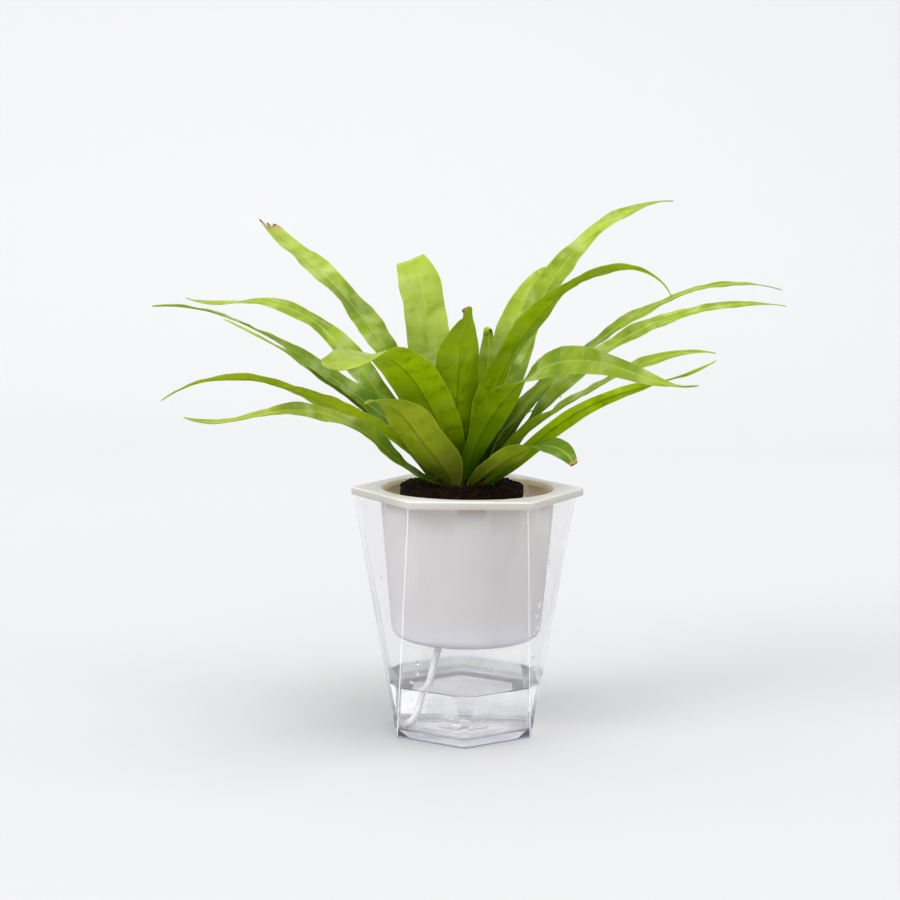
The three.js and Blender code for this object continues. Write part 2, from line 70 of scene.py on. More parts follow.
WICK_ROUTE = [
    (-15, -8, 72),
    (-15, -8, 60),
    (-15.6, -8.6, 51),
    (-17.6, -10.4, 42),
    (-20, -12.6, 33),
    (-22.4, -14.6, 24.5),
    (-25, -16.2, 17),
    (-28.4, -17.6, 11),
    (-31.6, -18.8, 8.2),
    (-34.4, -19.9, 7.6),
]


# Fronds. ring and at: where the foot stands round the crown's middle, in mm and degrees. heading,
# climb and roll, at even steps from foot to tip: direction seen from above, angle above the level
# and turn of the blade about its own length. wave: height of the edge's ripple, waves: how many,
# phase: where it starts. fold: how far each half is raised. foot and tip: width there as a share of
# the width. taper: share of the length where it starts to narrow, fall: power of the narrowing.
# Only this script has ruffle: size of the fine waves, pale: how pale, partly the frond's own tone
# and partly painted sheen and light, dull: olive above 0 and deep green below, the deep
# green partly the frond's own tone and partly painted shade, brown: mm of brown tip, curl: share of
# the length where the tip starts to curl, by how many degrees backwards and by how many sideways.
# ring, at, heading, climb, roll, length and width weren't chosen by hand. A fitting program and a
# random search made them.

# What a row of the table leaves out
USUAL = {
    "taper": 0.4, "fall": 0.9, "tip": 0.03, "foot": 0.4, "fold": 18, "wave": 1.2, "waves": 3,
    "phase": 0, "ruffle": 1.0, "pale": 0.18, "dull": 0, "brown": 0, "curl": (1, 0, 0),
}


def blade(ring, at, length, width, heading, climb, roll, **own):
    """One frond of the table. What the row leaves out is as usual."""
    placed = {"ring": ring, "at": at, "length": length, "width": width}
    return {**USUAL, **placed, "heading": heading, "climb": climb, "roll": roll, **own}


FRONDS = {
    "frond_left_1": blade(
        8.5, 139, 208, 20, [146, 146], [68, 55, 49, 36, 44], [44, 18, 11], taper=0.8, fall=1.5, tip=0.6,
        wave=1.1, waves=4.5, phase=2.5, ruffle=2.0, brown=6),
    "frond_left_2": blade(
        14, 158, 222, 16, [155, 156], [58, 50, 40, 4, 21], [29, 43, 33], wave=1.4, waves=4, phase=1,
        ruffle=1.7, pale=0.35),
    "frond_left_3": blade(
        14, 188, 205, 21, [176, 197], [72, 38, 35, 23, -4], [26, 25, -28], taper=0.3, wave=1, waves=3.5,
        ruffle=1.4, dull=-0.25),
    "frond_left_4": blade(
        17.5, 174, 162, 9, [188, 161], [56, 41, 32, 20], [-5, 41, 7], taper=0.3, wave=0.8, pale=0.35,
        dull=-0.1),
    "frond_left_5": blade(
        18.5, 202, 188, 15, [197, 210], [77, 29, 23, 4, -32], [-33, -26, -38], fall=1.1, wave=0.8,
        pale=0.5, dull=0.3),
    "frond_left_6": blade(
        17, 218, 176, 14, [220, 203], [13, 38, 19, -8, 25], [29, 50, 31], taper=0.35, wave=1.5,
        ruffle=1.5, pale=0.3, dull=0.35),
    "frond_arching_left": blade(
        8.5, 222, 168, 28, [243, 233], [96, 48, 35, 2, 9], [21, -29, 67], taper=0.7, fall=1.5, tip=0.15,
        wave=1.5, ruffle=0.6, pale=0.75),
    "frond_upright": blade(
        5, 147, 137, 27, [127, 140], [79, 70, 80, 52], [31, 32, 34], taper=0.85, fall=2, tip=0.7,
        foot=0.3, ruffle=1.6, pale=1.0),
    "frond_middle": blade(
        5.5, 251, 114, 29, [249, 295], [92, 68, 66, 48], [4, -13, -36], taper=0.7, fall=2, tip=0.05,
        foot=0.32, wave=1, waves=2.5, ruffle=0.5, pale=0.12, dull=-0.2, brown=4, curl=(0.93, 40, -95)),
    "frond_young": blade(
        5, 38, 100, 17, [40, 60], [84, 71, 84, 95], [-3, -5, -13], taper=0.5, fall=1.5, tip=0.1, fold=25,
        wave=0.5, waves=2, ruffle=0.4, pale=0.05, dull=-0.2, curl=(0.9, 250, 0)),
    "frond_right_1": blade(
        10.5, 66, 154, 29, [48, 57], [66, 58, 63, 21], [-2, -6, -44], taper=0.6, fall=1.5, tip=0.1,
        foot=0.34, ruffle=1.5, pale=0.5),
    "frond_right_2": blade(
        10.5, 4, 234, 21, [24, 27], [76, 67, 43, 1], [7, -23, -45], fall=1.2, foot=0.34, wave=1.5,
        waves=4, ruffle=1.6, pale=0.3),
    "frond_right_3": blade(
        11.5, 317, 205, 24, [316, 334], [87, 68, 49, 20, -66], [4, 5, 21], taper=0.5, fall=1.1, foot=0.34,
        waves=3.5, ruffle=0.6, pale=0.12, dull=-0.1),
    "frond_right_4": blade(
        12.5, 275, 222, 18, [299, 311], [70, 43, 18, -10, 14], [-9, 31, -55, -82, 0], taper=0.55,
        fall=1.1, wave=1.5, ruffle=0.7, pale=0.3, dull=-0.22),
    "frond_right_5": blade(
        14, 345, 84, 23, [348, 343], [77, 62, 48, 30], [0, -19, -30], taper=0.6, fall=1.3, tip=0.1,
        foot=0.36, wave=1, waves=2.5, dull=-0.25),
    "frond_right_6": blade(
        13.5, 26, 242, 14, [20, 9], [64, 46, 34, 16, -17], [-21, -22, -41], taper=0.35, waves=4,
        ruffle=1.4, pale=0.4, dull=-0.15),
    "frond_right_7": blade(
        17.5, 15, 233, 15, [-8, 26], [51, 51, 30, 10, -8], [-9, -37, -62], taper=0.35, waves=4,
        ruffle=1.4, pale=0.4),
    "frond_right_8": blade(
        17.5, 337, 162, 18, [335, 356], [74, 36, 27, -12], [15, -13, -96], taper=0.35, wave=1, pale=0.3),
    "frond_right_9": blade(
        18, 315, 165, 10, [338, 321], [32, 38, 18, 33], [66, 81, -7], fall=1, wave=1, pale=0.3),
    "frond_front_right": blade(
        17, 287, 89, 17, [316, 313], [39, 30, 11, -55], [10, 14, -73], taper=0.7, fall=1.5, tip=0.25,
        foot=0.36, waves=2, ruffle=0.8, pale=0.35, dull=0.35, brown=3),
    "frond_front_left": blade(
        18, 251, 89, 27, [240, 203], [66, 41, 46, -29], [-12, -29, -5], taper=0.65, fall=1.6, tip=0.1,
        foot=0.36, waves=2, ruffle=0.8, pale=0.35, dull=0.42),
    "frond_back_1": blade(
        16.5, 52, 118, 18, [52, 58], [56, 36, 12, -14], [-3, 6, -6], fall=1, phase=1),
    "frond_back_2": blade(
        14.5, 83, 140, 20, [76, 68], [64, 47, 29, 1], [0, -11, 0], taper=0.45, fall=1.1, phase=2),
    "frond_back_3": blade(
        10.5, 106, 128, 18, [85, 86], [70, 62, 37, 8], [0, 0, -3], taper=0.5, fall=1.2, wave=1.1),
    "frond_back_4": blade(
        14, 121, 138, 17, [114, 107], [67, 44, 21, -13], [0, -8, 2], fall=1, wave=1.3, phase=3),
    "frond_back_5": blade(
        18.5, 55, 112, 18, [67, 58], [55, 29, 6, -22], [0, 0, 0], fall=1, wave=1, phase=2),
    "frond_back_6": blade(
        18.5, 96, 150, 19, [97, 91], [50, 28, 4, -25], [0, 0, 0], fall=1),
}


# Camera, at the photo's viewpoint. A program solved it from points on the planter.
CAMERA_TURN = {"yaw": 1.289, "pitch": 6.615, "roll": -0.507}  # degrees
CAMERA_PLACE = (-0.0299, -0.9216, 0.2767)
CAMERA_LENS = 62.05


def make_camera():
    yaw, pitch, roll = (math.radians(angle) for angle in CAMERA_TURN.values())
    level = math.cos(pitch)
    forward = Vector((math.sin(yaw) * level, math.cos(yaw) * level, -math.sin(pitch)))
    right = Vector((math.cos(yaw), -math.sin(yaw), 0))
    up = right.cross(forward)
    rolled_right = math.cos(roll) * right - math.sin(roll) * up
    rolled_up = math.sin(roll) * right + math.cos(roll) * up
    data = bpy.data.cameras.new("camera")
    data.lens = CAMERA_LENS
    data.sensor_width = 36
    data.sensor_fit = "HORIZONTAL"
    data.clip_start = 0.01
    data.clip_end = 20
    camera = bpy.data.objects.new("camera", data)
    bpy.context.scene.collection.objects.link(camera)
    place = Matrix((rolled_right, rolled_up, -forward)).transposed().to_4x4()
    place.translation = Vector(CAMERA_PLACE)
    camera.matrix_world = place
    bpy.context.scene.camera = camera


make_camera()


# Helpers
def new_object(name, points, faces, materials, smooth=True, indices=None):
    mesh = bpy.data.meshes.new(name)
    mesh.from_pydata([tuple(c * MM for c in p) for p in points], [], faces)
    for material in materials:
        mesh.materials.append(material)
    if indices is not None:
        mesh.polygons.foreach_set("material_index", indices)
    mesh.polygons.foreach_set("use_smooth", [smooth] * len(mesh.polygons))
    mesh.update()
    piece = bpy.data.objects.new(name, mesh)
    bpy.context.scene.collection.objects.link(piece)
    return piece


def add_attribute(piece, name, values):
    """One number for each point of the mesh, or three."""
    if isinstance(values[0], tuple):
        layer = piece.data.attributes.new(name, "FLOAT_VECTOR", "POINT")
        layer.data.foreach_set("vector", [c for v in values for c in v])
    else:
        layer = piece.data.attributes.new(name, "FLOAT", "POINT")
        layer.data.foreach_set("value", values)


def settle(piece, node):
    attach(piece, "root")
    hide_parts(node)


def ring_faces(rings, count):
    """Quads between rings of count points each, numbered from 0, and a face at each end."""
    faces = []
    for r in range(rings - 1):
        for i in range(count):
            a, b = r * count, (r + 1) * count
            j = (i + 1) % count
            faces.append((a + i, a + j, b + j, b + i))
    faces.append(tuple(reversed(range(count))))
    faces.append(tuple(range((rings - 1) * count, rings * count)))
    return faces


def sin_cos(degrees):
    angle = math.radians(degrees)
    return math.sin(angle), math.cos(angle)


def wave_noise(x, y, z):
    return noise.noise(Vector((x, y, z)))


def linear(red, green, blue):
    """Linear colour of an sRGB one given from 0 to 255."""
    def one(c):
        c /= 255
        return c / 12.92 if c <= 0.04045 else ((c + 0.055) / 1.055) ** 2.4
    return (one(red), one(green), one(blue), 1)


class Nodes:
    """Short calls for building a node tree."""

    def __init__(self, name):
        self.material = bpy.data.materials.new(name)
        self.material.use_nodes = True
        self.tree = self.material.node_tree
        self.tree.nodes.clear()
        self.out = self.add("ShaderNodeOutputMaterial")

    def add(self, kind, **values):
        node = self.tree.nodes.new(kind)
        for key, value in values.items():
            setattr(node, key, value)
        return node

    def link(self, source, target):
        self.tree.links.new(source, target)

    def feed(self, value, socket):
        """Links an output to the socket, or sets the socket to a plain value."""
        if hasattr(value, "is_output"):
            self.link(value, socket)
        else:
            socket.default_value = value

    def set(self, node, **values):
        for key, value in values.items():
            self.feed(value, node.inputs[key.replace("_", " ")])
        return node

    def where(self):
        return self.add("ShaderNodeTexCoord").outputs["Object"]

    def attribute(self, name, output="Fac"):
        return self.add("ShaderNodeAttribute", attribute_name=name).outputs[output]

    def split(self, vector):
        node = self.add("ShaderNodeSeparateXYZ")
        self.link(vector, node.inputs[0])
        return node.outputs

    def math(self, operation, a, b=None, c=None, clamp=False):
        node = self.add("ShaderNodeMath", operation=operation, use_clamp=clamp)
        for i, value in enumerate((a, b, c)):
            if value is not None:
                self.feed(value, node.inputs[i])
        return node.outputs[0]

    def times(self, a, b, clamp=False):
        return self.math("MULTIPLY", a, b, clamp=clamp)

    def mix(self, factor, a, b):
        node = self.add("ShaderNodeMix", data_type="RGBA")
        for i, value in ((0, factor), (6, a), (7, b)):
            self.feed(value, node.inputs[i])
        return node.outputs[2]

    def ramp(self, value, low, high, to_low=0.0, to_high=1.0):
        node = self.add("ShaderNodeMapRange", interpolation_type="SMOOTHSTEP")
        for i, number in enumerate((value, low, high, to_low, to_high)):
            self.feed(number, node.inputs[i])
        return node.outputs[0]

    def noise(self, vector, scale, detail=3.0, roughness=0.55):
        node = self.add("ShaderNodeTexNoise")
        self.set(node, Vector=vector, Scale=scale, Detail=detail, Roughness=roughness)
        return node.outputs["Fac"]

    def bump(self, height, strength, distance, normal=None):
        node = self.add("ShaderNodeBump")
        self.set(node, Height=height, Strength=strength, Distance=distance)
        if normal is not None:
            self.link(normal, node.inputs["Normal"])
        return node.outputs["Normal"]

    def principled(self, **values):
        return self.set(self.add("ShaderNodeBsdfPrincipled"), **values)

    def translucent(self, **values):
        return self.set(self.add("ShaderNodeBsdfTranslucent"), **values)

    def blend(self, share, first, second):
        node = self.add("ShaderNodeMixShader")
        self.feed(share, node.inputs[0])
        self.link(first.outputs[0], node.inputs[1])
        self.link(second.outputs[0], node.inputs[2])
        return node.outputs[0]

    def finish(self, shader):
        self.link(shader, self.out.inputs["Surface"])
        return self.material


# Materials
VEIN_GAP = 1.25  # mm between two side veins
VEIN_SLANT = 0.42  # mm that a vein moves towards the tip for each mm away from the midrib
LEAF = {
    "dark": linear(74, 110, 0),
    "middle": linear(148, 175, 0),
    "pale": linear(188, 203, 62),
    # painted sheen, for the pale bands and blotches
    "shine": linear(206, 217, 154),
    "light": linear(196, 209, 116),
    "under_dark": linear(142, 176, 0),
    "under_middle": linear(200, 222, 4),
    "under_light": linear(200, 222, 8),
    # painted shade for the blades' feet at the crown
    "foot": linear(44, 70, 0),
    "olive": linear(160, 156, 74),
    "deep": linear(74, 112, 0),
    "rib": linear(178, 196, 88),
    "under_rib": linear(62, 74, 16),
    "straw": linear(190, 164, 108),
    "brown": linear(84, 56, 30),
    "glow": linear(200, 225, 0),
}


def leaf_material(name, upper):
    """One side of the blades. Mesh attribute leaf holds mm across, mm along and share of the
    length, mark holds share of the width, withering and paleness, and dull what
    dull_of says: olive, and deep green that is partly painted shade."""
    n = Nodes(name)
    across, along, share = n.split(n.attribute("leaf", "Vector"))
    edge, age, paleness = n.split(n.attribute("mark", "Vector"))
    dull = n.attribute("dull")
    where = n.where()
    distance = n.math("ABSOLUTE", across)
    # side veins, swept towards the tip
    slant = n.math("SUBTRACT", along, n.times(distance, VEIN_SLANT))
    wobble = n.times(n.noise(where, 90, 2), 1.6)
    lines = n.math("SINE", n.times(n.math("ADD", slant, wobble), 2 * math.pi / VEIN_GAP))
    veins = n.ramp(lines, -0.2, 1.0)
    broad = n.noise(where, 28, 3)
    fine = n.noise(where, 260, 3)
    dark, pale, shine = LEAF["dark"], LEAF["pale"], LEAF["shine"]
    if upper:
        tone = n.mix(n.ramp(broad, 0.33, 0.68), dark, LEAF["middle"])
    else:
        tone = n.mix(n.ramp(broad, 0.33, 0.7), LEAF["under_dark"], LEAF["under_middle"])
    # each frond's paleness: partly its own paler tone and partly painted sheen and light
    tone = n.mix(n.times(paleness, 0.75), tone, LEAF["light" if upper else "under_light"])
    # painted highlight and painted shade in bands across the blade, as if it bulged
    bands = n.add("ShaderNodeCombineXYZ")
    for i, source in enumerate((n.times(across, 0.35), along, n.times(paleness, 40.0))):
        n.link(source, bands.inputs[i])
    band = n.noise(bands.outputs[0], 0.062, 1.2)
    tone = n.mix(n.ramp(band, 0.52, 0.72, 0.0, 0.65 if upper else 0.12), tone, shine)
    tone = n.mix(n.ramp(band, 0.48, 0.3, 0.0, 0.35 if upper else 0.2), tone, dark)
    tone = n.mix(n.times(veins, 0.24), tone, dark)
    tone = n.mix(n.times(n.ramp(fine, 0.45, 0.8), 0.16), tone, pale)
    # random blotches: darker ones, and paler ones that on the upper side are a painted sheen
    blotch = n.noise(where, 120, 4, 0.65)
    tone = n.mix(n.ramp(blotch, 0.5, 0.74, 0.0, 0.34), tone, shine if upper else pale)
    tone = n.mix(n.ramp(blotch, 0.5, 0.27, 0.0, 0.5), tone, dark)
    # painted shade darkens the foot, where the blades crowd together at the crown, and the tip and
    # the edges are paler
    tone = n.mix(n.ramp(along, 100, 20, 0.0, 0.3), tone, dark)
    tone = n.mix(n.ramp(along, 44, 2, 0.0, 0.85), tone, LEAF["foot"])
    tone = n.mix(n.times(n.ramp(share, 0.35, 0.95), 0.45), tone, pale)
    tone = n.mix(n.times(n.ramp(n.math("ABSOLUTE", edge), 0.86, 1.0), 0.35), tone, pale)
    olive = n.times(dull, n.ramp(fine, 0.3, 0.7, 0.5, 1.0), clamp=True)
    tone = n.mix(olive, tone, LEAF["olive"])
    # below 0, deep green: partly the frond's own tone and partly painted shade
    tone = n.mix(n.times(dull, -1.0, clamp=True), tone, LEAF["deep"])
    rib = n.ramp(distance, 0.85, 0.25)
    if upper:
        tone = n.mix(n.times(rib, 0.55), tone, LEAF["rib"])
    else:
        reach = n.times(rib, n.ramp(share, 0.95, 0.55))
        tone = n.mix(n.times(reach, 0.42), tone, LEAF["under_rib"])
    tone = n.mix(n.ramp(age, 0.12, 0.5), tone, LEAF["straw"])
    tone = n.mix(n.ramp(age, 0.7, 1.0), tone, LEAF["brown"])
    relief = n.math("ADD", n.times(veins, 0.5), n.times(fine, 0.5))
    normal = n.bump(relief, 0.35, 0.0002)
    normal = n.bump(broad, 0.3, 0.002, normal)
    normal = n.bump(band, 0.55 if upper else 0.18, 0.005, normal)
    gloss = n.ramp(fine, 0.2, 0.8, 0.3 if upper else 0.38, 0.46 if upper else 0.55)
    body = n.principled(
        Base_Color=tone, Roughness=gloss, IOR=1.45, Normal=normal,
        Specular_IOR_Level=0.3 if upper else 0.1, Specular_Tint=(1, 1, 0.5, 1),
        Coat_Weight=0.3 if upper else 0.02, Coat_Roughness=0.2,
    )
    glow = n.translucent(Color=n.mix(0.5, tone, LEAF["glow"]), Normal=normal)
    return n.finish(n.blend(0.32, body, glow))


def lets_light_through(n):
    """Share of a clear skin's alpha: light on its way to a shadow passes nearly unhindered."""
    shadow = n.add("ShaderNodeLightPath").outputs["Is Shadow Ray"]
    return n.math("MULTIPLY_ADD", shadow, -0.85, 1.0)


def clear_plastic():
    n = Nodes("clear_plastic")
    where = n.where()
    height = n.split(where)[2]
    rough = n.ramp(n.noise(where, 60, 4), 0.35, 0.75, 0.0, 0.03)
    normal = n.bump(n.noise(where, 35, 2), 0.05, 0.001)
    facing = n.add("ShaderNodeLayerWeight").outputs["Facing"]
    line = n.attribute("fold")
    edge = n.math("MAXIMUM", n.ramp(facing, 0.9, 0.98), n.attribute("rim"))
    solid = n.ramp(facing, 0.55, 1.0, 0.1, 0.8)
    solid = n.math("ADD", solid, n.ramp(height, 0.016, 0.003, 0.0, 0.85))
    solid = n.math("ADD", solid, n.times(line, 0.6), clamp=True)
    solid = n.times(solid, lets_light_through(n))
    body = n.principled(
        Base_Color=(1, 1, 1, 1), Roughness=rough, IOR=1.5, Normal=normal, Alpha=solid,
        Transmission_Weight=1,
    )
    # painted highlights make the folds white, and painted shade makes the edges seen along
    # their skin lilac
    colour = n.mix(edge, linear(252, 252, 255), linear(150, 150, 190))
    trace = n.principled(Base_Color=colour, Roughness=0.4, Alpha=solid, Specular_IOR_Level=0.1)
    shown = n.math("MAXIMUM", n.times(line, 0.8), n.times(edge, 0.75))
    # painted light: the underside is matt and white, which is a guess, and it brightens what
    # shows through the base
    shown = n.math("MAXIMUM", shown, n.ramp(height, 0.0011, 0.0007, 0.0, 0.85))
    n.finish(n.blend(shown, body, trace))
    tint = n.add("ShaderNodeVolumeAbsorption")
    n.set(tint, Color=(0.74, 0.76, 1, 1), Density=3.5)
    n.link(tint.outputs[0], n.out.inputs["Volume"])
    return n.material


def water_material():
    n = Nodes("water")
    normal = n.bump(n.noise(n.where(), 40, 1), 0.03, 0.001)
    body = n.principled(
        Base_Color=(1, 1, 1, 1), Roughness=0.0, IOR=1.333, Normal=normal,
        Alpha=lets_light_through(n), Transmission_Weight=1,
    )
    return n.finish(body.outputs[0])


def ivory_plastic():
    n = Nodes("ivory_plastic")
    where = n.where()
    cloud = n.noise(where, 18, 3)
    grain = n.noise(where, 900, 2)
    x, y, height = n.split(where)
    tone = n.mix(n.ramp(cloud, 0.3, 0.7), linear(224, 224, 229), linear(231, 231, 236))
    # painted shade makes the flange's lip greyer than the cup, and painted light makes its
    # upper side whiter
    tone = n.mix(n.ramp(height, 0.1415, 0.1425), tone, linear(196, 193, 184))
    tone = n.mix(n.ramp(height, 0.1464, 0.1469), tone, linear(252, 251, 247))

    def squared(value, middle):
        return n.math("POWER", n.math("SUBTRACT", value, middle * MM), 2.0)

    # painted warm light makes the cup's inside brighter and yellower, and more light comes through
    # its wall there: all that is nearer to its axis than the wall's middle
    out = n.math("SQRT", n.math("ADD", squared(x, POT_SHIFT[0]), squared(y, POT_SHIFT[1])))
    slope = (POT_MOUTH - POT_FOOT + POT_WALL) / (VESSEL_HEIGHT + FLANGE_LIP - POT_BOTTOM)
    level = (POT_FOOT - POT_WALL / 2 - POT_BOTTOM * slope) * MM
    middle = n.math("MULTIPLY_ADD", height, slope, level)
    inside = n.ramp(n.math("SUBTRACT", middle, out), -0.0003, 0.0003)
    inside = n.times(inside, n.ramp(height, 0.068, 0.074))
    tone = n.mix(inside, tone, linear(255, 248, 226))
    rough = n.ramp(n.noise(where, 140, 4), 0.3, 0.75, 0.34, 0.46)
    normal = n.bump(grain, 0.12, 0.0001)
    normal = n.bump(cloud, 0.06, 0.002, normal)
    body = n.principled(Base_Color=tone, Roughness=rough, IOR=1.49, Normal=normal)
    glow = n.translucent(Color=n.mix(inside, linear(248, 246, 248), linear(255, 238, 206)))
    return n.finish(n.blend(n.math("MULTIPLY_ADD", inside, 0.3, 0.45), body, glow))


def cotton():
    n = Nodes("cotton")
    fibre = n.noise(n.where(), 1400, 3)
    tone = n.mix(n.ramp(fibre, 0.3, 0.7), linear(206, 205, 204), linear(236, 236, 235))
    normal = n.bump(fibre, 0.5, 0.0002)
    body = n.principled(Base_Color=tone, Roughness=0.85, Normal=normal, Sheen_Weight=0.3)
    return n.finish(body.outputs[0])


def peat():
    n = Nodes("peat")
    where = n.where()
    crumb = n.noise(where, 420, 5, 0.65)
    patch = n.noise(where, 60, 3)
    tone = n.mix(n.ramp(crumb, 0.35, 0.7), linear(14, 9, 4), linear(44, 29, 15))
    tone = n.mix(n.times(n.ramp(patch, 0.5, 0.75), 0.5), tone, linear(64, 43, 24))
    rough = n.ramp(crumb, 0.3, 0.7, 0.95, 0.7)
    normal = n.bump(crumb, 0.9, 0.0008)
    body = n.principled(Base_Color=tone, Roughness=rough, Normal=normal, Specular_IOR_Level=0.12)
    return n.finish(body.outputs[0])


def rhizome():
    n = Nodes("rhizome")
    grain = n.noise(n.where(), 500, 4)
    tone = n.mix(n.ramp(grain, 0.3, 0.7), linear(36, 27, 12), linear(84, 66, 30))
    body = n.principled(Base_Color=tone, Roughness=0.8, Normal=n.bump(grain, 0.6, 0.0004))
    return n.finish(body.outputs[0])


def studio():
    """Pale grey that gets lighter towards the backdrop."""
    n = Nodes("studio")
    where = n.where()
    cloud = n.noise(where, 1.5, 2)
    tone = n.mix(cloud, (0.525, 0.526, 0.533, 1), (0.55, 0.551, 0.558, 1))
    tone = n.mix(n.ramp(n.split(where)[1], -0.3, 1.6), tone, (0.65, 0.651, 0.66, 1))
    body = n.principled(Base_Color=tone, Roughness=0.8, Specular_IOR_Level=0.2)
    return n.finish(body.outputs[0])


LEAF_UPPER = leaf_material("leaf_upper", True)
LEAF_LOWER = leaf_material("leaf_lower", False)
CLEAR = clear_plastic()
WATER = water_material()
IVORY = ivory_plastic()
COTTON = cotton()
PEAT = peat()
RHIZOME = rhizome()
STUDIO = studio()


# Wick
def spline_through(points, steps):
    """Smooth curve through points, as evenly parted as the points are."""
    ends = [2 * Vector(points[0]) - Vector(points[1])]
    ends += [Vector(p) for p in points]
    ends += [2 * Vector(points[-1]) - Vector(points[-2])]
    found = []
    for k in range(1, len(ends) - 2):
        a, b, c, d = ends[k - 1 : k + 3]
        for s in range(steps):
            t = s / steps
            found.append(
                0.5 * (2 * b + (c - a) * t + (2 * a - 5 * b + 4 * c - d) * t * t
                       + (3 * b - 3 * c + d - a) * t * t * t)
            )
    found.append(ends[-2])
    return found


WICK_LAY = 1.5  # how fast the strands' pattern shifts, in radians for each mm
WICK_END = 0.55  # the cord's last ring is this share of its width


def make_wick():
    """Braided cord: a tube whose section has bulging strands that turn along it."""
    path = spline_through(WICK_ROUTE, 12)
    sides = 36
    length = 0
    points = []
    side = Vector((1, 0, 0))
    for k, centre in enumerate(path):
        ahead = path[min(k + 1, len(path) - 1)] - path[max(k - 1, 0)]
        ahead.normalize()
        side = (side - ahead * side.dot(ahead)).normalized()
        other = ahead.cross(side)
        if k:
            length += (centre - path[k - 1]).length
        end = WICK_END if k == len(path) - 1 else 1
        for i in range(sides):
            angle = 2 * math.pi * i / sides
            lay = length * WICK_LAY
            strand = abs(math.sin(2 * angle + lay)) + abs(math.sin(2 * angle - lay))
            radius = WICK_DIAMETER / 2 * (0.9 + 0.07 * strand) * end
            points.append(centre + radius * (math.cos(angle) * side + math.sin(angle) * other))
    faces = ring_faces(len(path), sides)
    wick = new_object("wick_cord", points, faces, [COTTON])
    settle(wick, "wick")


make_wick()


# Vessel and water
ARC = 4
CORNER_TURN = math.radians(30)
CORNER_RADIUS = 2  # of the upright folds
SIDE_ROOM = 0.52
FOOT_EDGE = 1  # radius between the outside and the underside
FLOOR_EDGE = 2  # radius between the inside and the floor
RIM_EDGE = 0.4
OVERLAP = 0.15  # the water reaches this far into the plastic


def vessel_ring(height, inset):
    """Level section of the twelve-sided vessel, moved in by inset, with rounded corners."""
    share = height / VESSEL_HEIGHT
    cos30 = math.cos(math.pi / 6)
    flat = VESSEL_BASE_CORNER + (VESSEL_TOP_CORNER * cos30 - VESSEL_BASE_CORNER) * share - inset
    point = VESSEL_BASE_CORNER * cos30
    point += (VESSEL_TOP_CORNER - VESSEL_BASE_CORNER * cos30) * share - inset
    tangent = CORNER_RADIUS * math.tan(CORNER_TURN / 2)
    point = min(point, (flat - tangent * SIDE_ROOM) / cos30)
    flat = min(flat, (point - tangent * SIDE_ROOM) / cos30)
    found = []
    for k in range(12):
        first, second = (flat, point) if k % 2 == 0 else (point, flat)
        turn = math.radians(-90 + 30 * k)
        across = (second - first * cos30) / math.sin(CORNER_TURN)
        normal = Vector((math.cos(turn), math.sin(turn), 0))
        along = Vector((-math.sin(turn), math.cos(turn), 0))
        corner = normal * first + along * across
        middle = corner - normal * CORNER_RADIUS - along * tangent
        for i in range(ARC + 1):
            angle = turn + CORNER_TURN * i / ARC
            at = middle + CORNER_RADIUS * Vector((math.cos(angle), math.sin(angle), 0))
            found.append((at.x, at.y, height))
    return found


# Strength of the painted highlight on each of the twelve folds. The photo shows two of them white.
FOLD_SHINE = [0.08, 1, 0.5, 0.3, 0.3, 0.3, 0.3, 0.3, 0.3, 0.5, 1, 0.08]


# Numbers of the vessel's rings, counted from the middle of its underside: its outer wall with most
# of the rounding below, the rounding of its foot, and the corner between its wall and floor
WALL_RINGS = range(6, 10)
FOOT_RINGS = range(5, 8)
FLOOR_RINGS = range(14, 16)


def fold_line(ring_index, point_index):
    corner, step = divmod(point_index, ARC + 1)
    return FOLD_SHINE[corner] if ring_index in WALL_RINGS and 0 < step < ARC else 0


def rim_line(ring_index):
    """How strong the painted lilac shade on the edges of the base is: its foot, and the corner
    that shows through it.
    """
    if ring_index in FOOT_RINGS:
        return 1
    return 0.6 if ring_index in FLOOR_RINGS else 0


def shrunk(ring, share, height):
    return [(x * share, y * share, height) for x, y, _ in ring]


def rounded_to(ring, radius, height, mix):
    found = []
    for x, y, _ in ring:
        reach = math.hypot(x, y)
        wanted = reach + (radius - reach) * mix
        found.append((x / reach * wanted, y / reach * wanted, height))
    return found


# Radius and height of the rings on the vessel's floor, and how round each is: 1 is a circle
FLOOR_MOULDING = (
    (30, 0.0, 0.5), (25, 0.0, 0.9), (24, 0.25, 1), (23, 0.45, 1), (22, 0.25, 1), (21, 0.0, 1),
    (14, 0.0, 1), (10, 0.1, 1), (9, 0.6, 1), (8.4, 0.8, 1), (6.5, 0.5, 1), (4.5, 0.75, 1),
    (2.5, 0.45, 1), (1.0, 0.8, 1),
)


